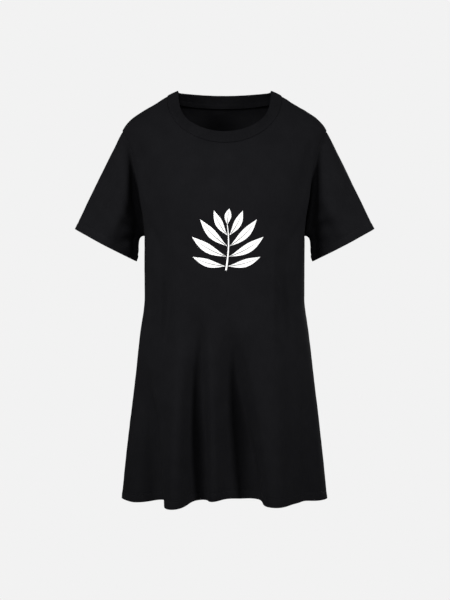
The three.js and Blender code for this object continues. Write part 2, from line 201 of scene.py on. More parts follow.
def armhole_opening(drop):
    """0 at the underarm and the shoulder tip, 1 halfway."""
    middle, reach = (UNDERARM + SHOULDER_TIP) / 2, (UNDERARM - SHOULDER_TIP) / 2
    return np.sqrt(np.maximum(0, 1 - ((drop - middle) / reach) ** 2))


def edge_at(face, drop):
    """Half the width of a panel, from the centre to the shoulder line, the armhole or the side."""
    return half_at(drop) * oval(ARMHOLE_DEPTH * armhole_opening(drop) / depth_at[face](drop))


def main_folds(face, across, drop):
    """How far the large folds push the cloth out, in mm."""
    out = np.zeros(np.broadcast(across, drop).shape)
    for top, at_top, at_hem, width, depth in FOLDS[face]:
        share = np.clip((drop - top) / (HEM - top), 0, 1)
        out += depth * share**1.4 * bell((across - lerp(at_top, at_hem, share)) / width)
    for top, bottom, at_top, at_bottom, width, depth in FALLS[face]:
        share = np.clip((drop - top) / (bottom - top), 0, 1)
        fade = np.sin(np.pi * share) ** 2
        out += depth * fade * bell((across - lerp(at_top, at_bottom, share)) / width)
    return out


def body_point(face, x, drop):
    """The body's surface at a place across and down."""
    half, centre = half_at(drop), depth_at[face](drop)
    bulge = oval(np.abs(x) / half)
    lean = unit(np.stack([x / half**2, bulge / centre], axis=-1))
    fold = main_folds(face, x / half, drop)
    y = OUTWARD[face] * (centre * bulge + lean[..., 1] * fold)
    return np.stack([x + lean[..., 0] * fold, y, -drop + 0 * x], axis=-1)


def body_normal(face, points):
    """The direction square to the body's surface, leaving out the folds."""
    x, y, drop = np.abs(points[..., 0]), np.abs(points[..., 1]), -points[..., 2]

    def share(at):
        return (x / half_at(at)) ** ROUNDNESS + (y / depth_at[face](at)) ** ROUNDNESS

    def slope(at, reach):
        return ROUNDNESS * (at / reach) ** (ROUNDNESS - 1) / reach

    sideways = np.sign(points[..., 0]) * slope(x, half_at(drop))
    forward = OUTWARD[face] * slope(y, depth_at[face](drop))
    return unit(np.stack([sideways, forward, share(drop) - share(drop + 1)], axis=-1))


def top_edge(face, column):
    """The upper edge of a panel: the neckline, then the shoulder line outside it."""
    turn = np.clip(column / NECK_COLUMNS, -1, 1) * np.pi / 2
    neck_drop = NECK_POINT + NECK_DEPTH[face] * np.cos(turn)
    beyond = np.clip(np.abs(column) - NECK_COLUMNS, 0, None) / (HALF_COLUMNS - NECK_COLUMNS)
    shoulder_drop = NECK_POINT + (SHOULDER_TIP - NECK_POINT) * beyond**1.25
    shoulder_x = np.sign(column) * half_at(shoulder_drop)
    on_neck = beyond == 0
    return (
        np.where(on_neck, NECK_HALF * np.sin(turn), shoulder_x),
        np.where(on_neck, neck_drop, shoulder_drop),
    )


def hem_drop(face, across):
    return HEM - HEM_RISE[face] * oval(np.abs(across)) + 0.2 * main_folds(face, across, HEM)


def yoke_place(face, columns, rise):
    """A row between the underarm's level, at rise 0, and the panel's upper edge, at rise 1."""
    across = np.sin(columns / HALF_COLUMNS * np.pi / 2)
    top_x, top_drop = top_edge(face, columns)
    straight = lerp(half_at(UNDERARM), half_at(SHOULDER_TIP), rise)
    inset = edge_at(face, lerp(UNDERARM, SHOULDER_TIP, rise)) - straight
    outer = (HALF_COLUMNS - np.abs(columns)) / (HALF_COLUMNS - NECK_COLUMNS)
    near_neck = np.minimum(outer, np.abs(columns / NECK_COLUMNS) ** 3)
    fan = NECK_FAN * near_neck * rise**3 * (1 - rise)
    x = lerp(half_at(UNDERARM) * across, top_x, rise)
    x = x + np.sign(across) * (fan + inset * np.abs(across) ** ARMHOLE_REACH)
    return x, lerp(UNDERARM, top_drop, rise)


# How far above the hem's edge its closely spaced rows lie, and those that the twin needle sews.
STITCH_ROWS = (15, 18.2)
HEM_ROWS = [0.8, 1.6, 3, 5, 7.5, 10, 12, 13.4, 14.3, 15, 15.7, 16.6, 17.5, 18.2, 18.9, 19.8, 20.6, 22]


def panel_columns():
    """The columns of a panel, closer together beside the side seams."""
    inner = np.arange(0, HALF_COLUMNS - 1.5, COLUMN_STEP)
    beside = HALF_COLUMNS - np.array([1.25, 0.95, 0.7, 0.5, 0.34, 0.22, 0.13, 0.06, 0])
    right = np.concatenate([inner, beside])
    return np.concatenate([-right[:0:-1], right])


def panel_places(face):
    """The places across and down of a panel's grid, from the hem up, and the first row of its yoke."""
    columns = panel_columns()
    across = np.sin(columns / HALF_COLUMNS * np.pi / 2)
    hem = hem_drop(face, across)
    drops = [hem - above for above in HEM_ROWS]
    for share in np.linspace(1, 0, SKIRT_ROWS, endpoint=False)[1:]:
        drops.append(lerp(UNDERARM, hem - HEM_ROWS[-1], share))
    rows = [(half_at(drop) * across, drop) for drop in drops]
    for row in range(YOKE_ROWS + 1):
        rise = (1 - math.cos(row / YOKE_ROWS * math.pi)) / 2
        rows.append(yoke_place(face, columns, rise))
    x, drop = (np.array([row[k] for row in rows]) for k in (0, 1))
    return x, drop, len(drops)


def grid_normals(points, closed=False):
    """Unit normals of a grid of points, which point away from the middle of each row."""
    if closed:
        across = np.roll(points, -1, axis=1) - np.roll(points, 1, axis=1)
    else:
        across = np.gradient(points, axis=1)
    normals = unit(np.cross(across, np.gradient(points, axis=0)))
    middle = points.mean(axis=1, keepdims=True)
    return normals if (normals * (points - middle)).sum() > 0 else -normals


def run_lengths(points, axis):
    """How far each point of a grid lies from the first one of its row or column."""
    steps = np.linalg.norm(np.diff(points, axis=axis), axis=2)
    start = np.zeros_like(np.take(steps, [0], axis=axis))
    return np.concatenate([start, np.cumsum(steps, axis=axis)], axis=axis)


def crease_relief(creases, across, down):
    """How far creases push the cloth out, in mm."""
    out = np.zeros(np.shape(across))
    pieces = 16
    for start, middle, end, left, right, depth in creases:
        start, middle, end = (np.array(place, float) for place in (start, middle, end))
        bend = 2 * middle - (start + end) / 2
        t = np.linspace(0, 1, pieces + 1)[:, None]
        line = (1 - t) ** 2 * start + 2 * t * (1 - t) * bend + t * t * end
        nearest = np.full(out.shape, 1e9)
        share, side = np.zeros(out.shape), np.zeros(out.shape)
        for k in range(pieces):
            step = line[k + 1] - line[k]
            u, v = across - line[k, 0], down - line[k, 1]
            along = np.clip((u * step[0] + v * step[1]) / (step @ step), 0, 1)
            u, v = u - along * step[0], v - along * step[1]
            closer = u * u + v * v < nearest
            nearest = np.where(closer, u * u + v * v, nearest)
            share = np.where(closer, (k + along) / pieces, share)
            side = np.where(closer, u * step[1] - v * step[0], side)
        width = np.where(side > 0, right, left)
        out += depth * np.sin(np.pi * share) ** 1.5 * bell(np.sqrt(nearest) / width)
    return out


def unevenness(across, down, wavelength, seed):
    """Soft swells with no direction, from about -1 to 1, so that no stretch of cloth is quite smooth."""
    draw = np.random.default_rng(seed)
    waves = 7
    total = 0
    for _ in range(waves):
        angle, phase = draw.uniform(0, 2 * np.pi, 2)
        length = wavelength * draw.uniform(0.6, 1.7)
        swell = across * np.cos(angle) + down * np.sin(angle)
        total = total + np.sin(2 * np.pi * swell / length + phase)
    return total / math.sqrt(waves)


# Depths and widths of what sewing does to the cloth, in mm.
SEAM_DIP, SEAM_WIDTH = 0.95, 1.7
PUCKER_DIP, PUCKER_REACH, PUCKER_LENGTH = 0.32, 9, 17
GROOVE_DEPTH, GROOVE_WIDTH = 0.5, 0.8
HEM_PUCKER, HEM_ROLL, HEM_SWELL = 0.3, 0.5, 0.25
PANEL_SEED = {"front": 3, "back": 8}


def seam_relief(distance, along, seed):
    """The dip of the cloth into a seam, and the puckers beside it, in mm."""
    pucker = unevenness(along, 0 * along, PUCKER_LENGTH, seed) * (1 - bell(distance / 3))
    dip = -SEAM_DIP * bell(distance / SEAM_WIDTH)
    return dip - PUCKER_DIP * np.exp(-distance / PUCKER_REACH) * (1 + pucker)


def hem_relief(above, along, seed):
    """The twin needle's grooves and puckers, the slight roll of the edge and a swell between, in mm."""
    grooves = sum(bell((above - row) / GROOVE_WIDTH) for row in STITCH_ROWS)
    pucker = unevenness(along, above * 0.5, 19, seed) * bell((above - STITCH_ROWS[0]) / 9)
    roll = unevenness(along, 0 * along, 46, seed + 1) * np.exp(-above / 8)
    swell = bell((above - 8) / 5)
    return -GROOVE_DEPTH * grooves + HEM_PUCKER * pucker + HEM_ROLL * roll + HEM_SWELL * swell


def panel_relief(face, creases, x, drop):
    """Creases of a panel, with swells 0.5 mm high and lower ones between, where it is clear of seams."""
    seed = PANEL_SEED[face]
    return (
        crease_relief(creases, x, drop)
        + 0.5 * unevenness(x, drop * 0.6, 120, seed)
        + 0.16 * unevenness(x, drop, 42, seed + 1)
    )


def armhole_point(turn):
    """The armhole seam at a turn of 0 at the shoulder tip and pi at the underarm, by way of the front."""
    drop = (UNDERARM + SHOULDER_TIP) / 2 - (UNDERARM - SHOULDER_TIP) / 2 * np.cos(turn)
    x = np.where(turn % (2 * np.pi) < np.pi, edge_at("front", drop), edge_at("back", drop))
    return np.stack([x, -ARMHOLE_DEPTH * np.sin(turn), -drop], axis=-1)


def sleeve_directions(turn):
    """The way down a sleeve, and the way in which it leaves the armhole at a turn."""
    down = unit(np.array([CUFF_OUTER[2] - CUFF_INNER[2], 0, CUFF_INNER[0] - CUFF_OUTER[0]]))
    under = ((1 - np.cos(turn)) / 2)[..., None]
    forward = np.array([0, 0.45, 0]) * np.sin(turn)[..., None]
    return down, unit(down * (1 - under) + np.array([1, 0, -0.1]) * under - forward)


def armhole_lean(turn):
    """The direction out of the cloth that the body and the sleeve share along the seam between them."""
    seam = armhole_point(turn)
    along = armhole_point(turn + 0.01) - armhole_point(turn - 0.01)
    sleeve = unit(np.cross(along, sleeve_directions(turn)[1]))
    outward = np.stack([0 * turn, -np.sin(turn), np.cos(turn)], axis=-1)
    sleeve *= np.sign((sleeve * outward).sum(axis=-1, keepdims=True))
    on_front = (turn % (2 * np.pi) < np.pi)[..., None]
    body = np.where(on_front, body_normal("front", seam), body_normal("back", seam))
    clear_of_underarm = 1 - bell((turn - np.pi) / 0.2)[..., None]
    return unit(body + sleeve * clear_of_underarm)


LEAN_REACH = 6  # from the armhole, where panel and sleeve turn to the way that they share
PANEL_CLEAR = 16  # from the seams, where creases and swells have faded out
NECK_DIP_WIDTH = 2.6


def panel_surface(face, creases):
    """Middle surface, outward directions and cloth coordinates of a panel, in mm."""
    x, drop, yoke = panel_places(face)
    base = body_point(face, x, drop)
    normals = grid_normals(base)
    normals[yoke:] = body_normal(face, base[yoke:])
    along_row, along_column = run_lengths(base, 1), run_lengths(base, 0)
    to_side = np.minimum(along_row, along_row[:, -1:] - along_row)
    to_top = along_column[-1:] - along_column
    cosine = (UNDERARM + SHOULDER_TIP - 2 * drop[yoke:, -1]) / (UNDERARM - SHOULDER_TIP)
    turn = np.arccos(np.clip(cosine, -1, 1))
    lean = armhole_lean(turn if face == "front" else 2 * np.pi - turn)[:, None]
    lean = lean * np.stack([np.sign(x[yoke:]), 1 + 0 * x[yoke:], 1 + 0 * x[yoke:]], axis=-1)
    normals[yoke:] = unit(lerp(normals[yoke:], lean, bell(to_side[yoke:] / LEAN_REACH)[..., None]))
    to_seam = np.minimum(to_side, to_top)
    clear = 1 - bell(to_seam / PANEL_CLEAR)
    across = along_row - along_row[:, along_row.shape[1] // 2][:, None]
    relief = panel_relief(face, creases, x, drop) * clear
    relief += seam_relief(to_seam, x + drop, seed=21)
    on_neck = np.abs(panel_columns()) < NECK_COLUMNS
    relief -= NECK_DIP[face] * bell(to_top / NECK_DIP_WIDTH) * on_neck
    relief += hem_relief(hem_drop(face, x / half_at(drop)) - drop, across, seed=23)
    middle = base + normals * relief[..., None]
    return middle, normals, np.stack([across, along_column], axis=-1)


FOLD_ROWS = 4  # round a free edge, from the cloth's outer face to its inner one


def quads(grid):
    """The four corners of every mesh of a grid."""
    return np.stack([grid[:-1, :-1], grid[1:, :-1], grid[1:, 1:], grid[:-1, 1:]], axis=2)


def shell(middle, normals, cloth, thick, extra_inside, closed):
    """Corner points, faces and cloth coordinates of a thin shell whose first row is a rounded free edge."""
    half_thick = thick / 2
    outer = middle + normals * half_thick
    inner = middle - normals * (half_thick + extra_inside)[..., None]
    centre, reach = (outer[0] + inner[0]) / 2, (outer[0] - inner[0]) / 2
    down = unit(middle[0] - middle[1]) * np.linalg.norm(reach, axis=-1, keepdims=True)
    fold = []
    for k in range(1, FOLD_ROWS + 1):
        turn = math.pi * k / (FOLD_ROWS + 1)
        fold.append(centre + reach * math.cos(turn) + down * math.sin(turn))
    points = np.concatenate([outer[::-1], np.array(fold), inner])
    high, wide = points.shape[:2]
    index = np.arange(high * wide).reshape(high, wide)
    index = np.concatenate([index, index[:1]])  # back to the first row, over the sewn edge
    uv = np.concatenate([cloth[::-1], np.repeat(cloth[:1], FOLD_ROWS, axis=0), cloth, cloth[-1:]])
    if closed:
        index = np.concatenate([index, index[:, :1]], axis=1)
        again = np.stack([2 * uv[:, -1, 0] - uv[:, -2, 0], uv[:, 0, 1]], axis=-1)
        uv = np.concatenate([uv, again[:, None]], axis=1)
    uv = uv * MM
    faces = quads(index).reshape(-1, 4).tolist()
    corners = [quads(uv).reshape(-1, 2)]
    if not closed:
        count = outer.shape[0]
        for end in (0, wide - 1):
            column, place = index[:-1, end], uv[:-1, end]
            front, back = np.arange(count)[::-1], np.arange(count) + count + FOLD_ROWS
            caps = [[front[j], front[j + 1], back[j + 1], back[j]] for j in range(count - 1)]
            caps.append([*range(count + FOLD_ROWS, count - 2, -1)])
            for cap in caps:
                cap = cap if end == 0 else cap[::-1]
                faces.append(column[cap].tolist())
                corners.append(place[cap])
    points = points.reshape(-1, 3)
    if volume(points, faces) < 0:
        faces = [face[::-1] for face in faces]
        ends = np.cumsum([0] + [len(face) for face in faces])
        flat = np.concatenate(corners)
        corners = [flat[a:b][::-1] for a, b in zip(ends[:-1], ends[1:])]
    return points, faces, np.concatenate(corners)


def volume(points, faces):
    """Six times the volume that the four-sided faces shut in."""
    four = np.array([face for face in faces if len(face) == 4])
    a, b, c, d = (points[four[:, k]] for k in range(4))
    return (a * np.cross(b, c)).sum() + (a * np.cross(c, d)).sum()


def add_piece(name, points, faces, material, corners=None, sharp=50):
    """A piece of the dress in the scene, from points in mm."""
    mesh = bpy.data.meshes.new(name)
    mesh.from_pydata((np.asarray(points) * MM).tolist(), [], faces)
    if corners is not None:
        layer = mesh.uv_layers.new(name="cloth")
        layer.uv.foreach_set("vector", np.asarray(corners, np.float32).ravel())
    mesh.polygons.foreach_set("use_smooth", [True] * len(mesh.polygons))
    mesh.set_sharp_from_angle(angle=math.radians(sharp))
    mesh.materials.append(material)
    piece = bpy.data.objects.new(name, mesh)
    bpy.context.scene.collection.objects.link(piece)
    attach(piece, "root")
    return piece


def linear(colour):
    """An sRGB hex colour as Blender's linear red, green, blue and alpha."""
    channels = [int(colour[k : k + 2], 16) / 255 for k in (1, 3, 5)]
    return [c / 12.92 if c <= 0.04045 else ((c + 0.055) / 1.055) ** 2.4 for c in channels] + [1.0]


def set_inputs(node, inputs):
    """Sets a node's inputs, or links them where the value is another node or one of its outputs."""
    for name, value in inputs.items():
        if isinstance(value, bpy.types.Node):
            value = value.outputs[0]
        if isinstance(value, bpy.types.NodeSocket):
            node.id_data.links.new(value, node.inputs[name])
        else:
            node.inputs[name].default_value = value


def add_node(tree, kind, inputs=None, **settings):
    """Adds a shader node, with its settings, and sets or links its inputs."""
    node = tree.nodes.new("ShaderNode" + kind)
    for name, value in settings.items():
        setattr(node, name, value)
    set_inputs(node, inputs or {})
    return node


def start_material(name):
    """A new material, with its nodes and its shader."""
    material = bpy.data.materials.new(name)
    material.use_nodes = True
    return material, material.node_tree, material.node_tree.nodes["Principled BSDF"]


# The real wales stand 0.75 mm apart and the courses 0.6 mm. Both are drawn twice as coarse, so that
# they show in a close view.
WALE_PITCH, COURSE_PITCH = 1.5, 1.2
WAVE_REPEAT = math.pi / 10  # of a wave texture at a scale of 1, in m


def jersey_material():
    """Black combed cotton jersey, piece dyed: matt, with fine upright wales and faint dye mottling."""
    material, tree, shader = start_material("black_cotton_jersey")
    cloth = add_node(tree, "UVMap", uv_map="cloth")
    place = add_node(tree, "TexCoord").outputs["Object"]
    wales = add_node(
        tree,
        "TexWave",
        {"Vector": cloth, "Scale": WAVE_REPEAT / (WALE_PITCH * MM), "Distortion": 1.1, "Detail": 2.0},
        bands_direction="X",
    ).outputs["Fac"]
    courses = add_node(
        tree,
        "TexWave",
        {"Vector": cloth, "Scale": WAVE_REPEAT / (COURSE_PITCH * MM), "Distortion": 1.4, "Detail": 2.0},
        bands_direction="Y",
    ).outputs["Fac"]
    loops = add_node(tree, "Math", {0: courses, 1: 0.35, 2: 0.65}, operation="MULTIPLY_ADD")
    knit = add_node(tree, "Math", {0: wales, 1: loops}, operation="MULTIPLY")
    # Yarn that varies in thickness shows as upright streaks, about 2.4 mm wide and 17 mm long.
    stretched = add_node(tree, "Mapping", {"Vector": cloth, "Scale": (420.0, 60.0, 1.0)})
    slub = add_node(tree, "TexNoise", {"Vector": stretched, "Scale": 1.0, "Detail": 3.0, "Roughness": 0.6})
    # The dye's cloudy patches are about 38 mm across. The fuzz of loose fibres is drawn 1.4 mm across,
    # coarser than the real one, so that it breaks up the shine.
    mottle = add_node(tree, "TexNoise", {"Vector": place, "Scale": 26.0, "Detail": 4.0, "Roughness": 0.55})
    fuzz = add_node(tree, "TexNoise", {"Vector": place, "Scale": 700.0, "Detail": 2.0, "Roughness": 0.6})
    slub_share = add_node(tree, "Math", {0: slub, 1: 0.45}, operation="MULTIPLY")
    tone = add_node(tree, "Math", {0: mottle, 1: 0.55, 2: slub_share}, operation="MULTIPLY_ADD")
    colour = add_node(tree, "ValToRGB", {0: tone})
    for stop, (at, shade) in zip(colour.color_ramp.elements, ((0.3, "#101012"), (0.7, "#151517"))):
        stop.position = at
        stop.color = linear(shade)
    rough = add_node(tree, "MapRange", {"Value": mottle, "To Min": 0.84, "To Max": 0.96})
    height = add_node(tree, "Math", {0: slub, 1: 0.8, 2: knit}, operation="MULTIPLY_ADD")
    height = add_node(tree, "Math", {0: fuzz, 1: 0.5, 2: height}, operation="MULTIPLY_ADD")
    bump = add_node(tree, "Bump", {"Strength": 0.5, "Distance": 0.00012, "Height": height})
    surface = {
        "Base Color": colour,
        "Roughness": rough,
        "Normal": bump,
        "Specular IOR Level": 0.04,
        "Sheen Weight": 0.006,
        "Sheen Roughness": 0.45,
        "Sheen Tint": linear("#b9bac4"),
    }
    set_inputs(shader, surface)
    return material


jersey = jersey_material()


def inside_thickness(cloth):
    """The extra thickness of the turned-up layer behind a hem, which ends just above its stitches."""
    return JERSEY_THICK * (1 - np.clip((cloth[..., 1] - (TURN_UP - 1.2)) / 0.9, 0, 1))


def add_shell(name, surface, thick=JERSEY_THICK, turned_up=False, closed=False):
    """A thin shell of jersey on a surface, which is its middle, its outward directions and its cloth."""
    middle, normals, cloth = surface
    extra = inside_thickness(cloth) if turned_up else np.zeros(middle.shape[:2])
    points, faces, corners = shell(middle, normals, cloth, thick, extra, closed)
    return add_piece(name, points, faces, jersey, corners)


front_surface = panel_surface("front", FRONT_CREASES)
front_panel = add_shell("front_panel", front_surface, turned_up=True)
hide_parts("front")


# Back panel
# Cut like the front from the same jersey, with a high shallow neckline, and sewn to the front along
# both shoulders and both sides. It falls from the shoulder blades in three broad folds.
BACK_CREASES = [
    ((-118, 560), (-112, 700), (-104, 960), 12, 16, 3.9),
    ((-60, 520), (-56, 680), (-52, 980), 16, 7, -6.6),
    ((-40, 600), (-34, 730), (-28, 930), 11, 15, 2.8),
    ((6, 500), (2, 660), (-6, 960), 15, 14, 4.0),
    ((52, 560), (58, 700), (66, 990), 7, 16, -6.3),
    ((116, 520), (118, 690), (122, 970), 18, 12, 4.4),
    ((168, 640), (167, 740), (163, 920), 12, 8, -4.5),
    ((-172, 610), (-168, 720), (-160, 900), 9, 12, -3.9),
    ((-120, 250), (-119, 400), (-112, 580), 11, 7, -3.5),
    ((124, 260), (122, 390), (114, 560), 7, 11, -3.5),
    ((-6, 60), (-3, 150), (4, 290), 30, 24, -2.3),
    ((-88, 96), (-96, 150), (-92, 240), 22, 18, 2.1),
    ((86, 92), (95, 150), (90, 230), 18, 22, 1.9),
    ((-184, 98), (-168, 136), (-150, 190), 9, 7, -3.5),
    ((185, 96), (166, 138), (146, 196), 7, 9, -3.7),
    ((-172, 190), (-152, 226), (-118, 262), 8, 11, -2.6),
    ((170, 196), (150, 236), (114, 268), 11, 8, -2.4),
    ((-164, 300), (-128, 348), (-70, 396), 11, 14, -2.8),
    ((162, 306), (132, 346), (82, 380), 14, 11, -2.4),
    ((-96, 410), (-20, 436), (64, 428), 19, 15, -2.1),
    ((-40, 470), (20, 488), (98, 474), 15, 20, -1.6),
    ((-120, 44), (-132, 78), (-158, 112), 11, 8, -1.8),
    ((122, 42), (136, 80), (160, 116), 8, 11, -1.9),
]
back_surface = panel_surface("back", BACK_CREASES)
back_panel = add_shell("back_panel", back_surface, turned_up=True)
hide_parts("back")


# Sleeves
# Two short set-in sleeves of the same jersey. Each is one panel, closed by a seam under the arm, eased
# into the armhole, with its cuff turned up inside. Measured for the one at +X.
CUFF_DEPTH = 38
SLEEVE_TURNS = 150
SLEEVE_ROWS = 62
HEAD_ROWS = (2.2, 1.5, 0.9, 0.4)  # how far from the armhole the rows beside it lie
SLEEVE_CLEAR = 12  # from the seams, where creases and swells have faded out
SLEEVE_SEED = {"left": 31, "right": 36}
# Folds that deepen down to the cuff: turn and width in degrees, and depth.
SLEEVE_FOLDS = [(48, 15, -4), (84, 18, 4), (128, 20, -3), (236, 24, -3), (305, 22, 4)]
SLEEVE_HOLLOWS = [(114, 50, 23.0), (240, 46, 11.0)]  # turn, width in degrees, depth
HOLLOW_FROM_SEAM = 7  # how far from the armhole a hollow is deepest
AROUND = 0.9  # mm round a sleeve for each degree of turn, near enough to place creases by
LONG = 150  # mm from armhole to cuff

# Creases across at a turn round the sleeve and down at a share of its length, both in mm: drag lines
# from the underarm, and falls from the sleeve's crown.
SLEEVE_CREASES = {
    "left": [
        ((140, 24), (138, 90), (140, 190), 15, 13, -8.0),
        ((146, 14), (112, 60), (74, 118), 7, 11, -4.9),
        ((152, 40), (126, 82), (98, 146), 11, 8, -3.5),
        ((60, 22), (56, 74), (50, 168), 9, 15, -4.2),
        ((84, 50), (82, 96), (76, 170), 11, 8, 3.1),
        ((22, 40), (24, 88), (30, 166), 12, 9, -3.1),
        ((104, 12), (96, 40), (92, 80), 8, 9, -2.6),
        ((182, 16), (214, 70), (240, 130), 8, 12, -4.2),
        ((250, 30), (258, 86), (264, 168), 12, 9, -3.5),
        ((286, 24), (288, 80), (284, 168), 11, 14, 3.3),
        ((174, 60), (196, 104), (214, 160), 9, 7, -2.8),
    ],
    "right": [
        ((141, 22), (139, 86), (139, 190), 14, 14, -7.6),
        ((148, 12), (116, 52), (80, 108), 8, 9, -4.5),
        ((150, 46), (120, 90), (92, 150), 9, 8, -4.0),
        ((66, 26), (60, 80), (56, 168), 8, 14, -4.7),
        ((88, 44), (86, 92), (80, 170), 9, 9, 3.5),
        ((26, 30), (22, 84), (24, 166), 11, 12, -2.8),
        ((112, 10), (102, 36), (96, 70), 9, 8, -2.8),
        ((180, 18), (208, 64), (232, 138), 9, 11, -3.9),
        ((246, 36), (252, 90), (254, 168), 11, 11, -3.7),
        ((280, 20), (284, 84), (288, 168), 12, 11, 3.0),
    ],
}


def sleeve_point(turn, share):
    """The sleeve's surface, from the armhole at share 0 to the cuff at share 1."""
    along = (CUFF_OUTER - CUFF_INNER) / 2
    down, leave = sleeve_directions(turn)
    cos, sin = np.cos(turn)[..., None], np.sin(turn)[..., None]
    cuff = (CUFF_OUTER + CUFF_INNER) / 2 + along * cos - np.array([0, CUFF_DEPTH, 0]) * sin
    armhole = armhole_point(turn)
    reach = np.linalg.norm(cuff - armhole, axis=-1, keepdims=True)
    s, r = share[..., None], 1 - share[..., None]
    surface = (
        armhole * (1 + 2 * s) * r * r
        + cuff * s * s * (3 - 2 * s)
        + leave * reach * s * r * r
        - down * reach * s * s * r
    )
    outward = unit(along) * cos - np.array([0, 1, 0]) * sin
    for at, width, depth in SLEEVE_FOLDS:
        fold = depth * share**1.5 * bell((np.degrees(turn) - at) / width)
        surface = surface + outward * fold[..., None]
    return surface


def sleeve_surface(side):
    """Middle surface, outward directions and cloth coordinates of a sleeve, from the cuff up."""
    turns = np.arange(SLEEVE_TURNS) / SLEEVE_TURNS * 2 * np.pi
    reach = np.linalg.norm(sleeve_point(turns, 1 + 0 * turns) - armhole_point(turns), axis=-1)
    shares = [1 - above / reach for above in HEM_ROWS]
    for share in np.linspace(1, 0, SLEEVE_ROWS, endpoint=False)[1:]:
        shares.append(share * shares[len(HEM_ROWS) - 1])
    shares += [distance / reach for distance in HEAD_ROWS] + [0 * reach]
    share = np.array(shares)
    turn = np.broadcast_to(turns, share.shape)
    base = sleeve_point(turn, share)
    normals = grid_normals(base, closed=True)
    above = run_lengths(base, 0)
    to_armhole = above[-1:] - above
    normals = unit(lerp(normals, armhole_lean(turn), bell(to_armhole / LEAN_REACH)[..., None]))
    to_underarm_seam = np.abs(np.degrees(turn) - 180) * AROUND
    to_seam = np.minimum(to_armhole, to_underarm_seam)
    around, down = np.degrees(turn) * AROUND, share * LONG
    seed = SLEEVE_SEED[side]
    clear = 1 - bell(to_seam / SLEEVE_CLEAR)
    swells = 0.5 * unevenness(around, down, 80, seed) + 0.2 * unevenness(around, down, 36, seed + 1)
    relief = (crease_relief(SLEEVE_CREASES[side], around, down) + swells) * clear
    relief += seam_relief(to_seam, around + down, seed=24)
    # The cloth sinks in beside the lower front and back of the armhole, where it has room to spare.
    for at, width, depth in SLEEVE_HOLLOWS:
        beside = to_armhole / HOLLOW_FROM_SEAM * np.exp(1 - to_armhole / HOLLOW_FROM_SEAM)
        relief -= depth * beside * bell((np.degrees(turn) - at) / width)
    relief += hem_relief(above + HEM_ROWS[0], around, seed=26)
    middle = base + normals * relief[..., None]
    if side == "right":
        middle, normals = middle * [-1, 1, 1], normals * [-1, 1, 1]
    return middle, normals, np.stack([around, above], axis=-1)


sleeve_surfaces = {side: sleeve_surface(side) for side in ("left", "right")}
for side, surface in sleeve_surfaces.items():
    sleeve = add_shell(f"sleeve_{side}_cloth", surface, turned_up=True, closed=True)
    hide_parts(f"sleeve_{side}")


# Neckband
# A strip of 1x1 cotton rib, folded double along its free edge, closed in a ring and sewn to the neckline
# a little stretched, so that it leans in and lies flat. Its ribs run across the strip.
BAND_WIDTH = 25
BAND_THICK = 1.9
BAND_LEAN = {"front": 27, "back": 25, "side": 66}  # degrees from upright
RIB_PITCH = 1.9
RIB_COLUMNS = 8
RIB_HEIGHT = 0.34
BAND_TUCK = 1.2  # how far its sewn edge reaches down behind the panels
BAND_PULL = (0.75, 0.3)  # how far the seam draws in its outside and its inside
BAND_SLANT = (2.5, 1.1)  # how far both lean back at the tucked edge
BAND_CROWN = 0.5  # how far its middle stands out
BAND_SWELL = 0.22
BAND_ROWS = [-BAND_TUCK, 0, 0.4, 0.9, 1.6, 2.8, 5, 8, 12, 16, 20, 22.6, 24.05]


def neck_loop():
    """Points close together round the neck seam, from the neck point on +X by way of the front."""
    columns = np.linspace(1, -1, 1500, endpoint=False) * NECK_COLUMNS
    front = body_point("front", *top_edge("front", columns))
    back = body_point("back", *top_edge("back", -columns))
    return np.concatenate([front, back, front[:1]])


def run_of(line):
    """How far each point of a line lies from its first one."""
    return run_lengths(line[:, None], 0)[:, 0]


def interpolate(rows, run, at):
    """Rows of three numbers at distances along the run that they belong to."""
    return np.stack([np.interp(at, run, rows[:, k]) for k in range(3)], axis=-1)


def band_directions(seam):
    """The directions up the neckband from its seam, and out of the neckband."""
    near = len(seam) // 48
    along = np.roll(seam, -near, axis=0) - np.roll(seam, near, axis=0)
    inward = unit(np.stack([along[:, 1], -along[:, 0], 0 * along[:, 0]], axis=1))
    upright = np.where(seam[:, 1] < 0, BAND_LEAN["front"], BAND_LEAN["back"])
    lean = np.radians(lerp(upright, BAND_LEAN["side"], np.abs(seam[:, 0] / NECK_HALF) ** 3))[:, None]
    up = inward * np.sin(lean) + np.array([0, 0, 1]) * np.cos(lean)
    out = unit(np.cross(unit(along), up))
    return up, out if (out * inward).sum() < 0 else -out


neck = neck_loop()
neck_run = run_of(neck)
neck_length = neck_run[-1]
band_count = round(neck_length / RIB_PITCH) * RIB_COLUMNS
band_seam = interpolate(neck, neck_run, np.linspace(0, neck_length, band_count, endpoint=False))
band_up, band_out = band_directions(band_seam)


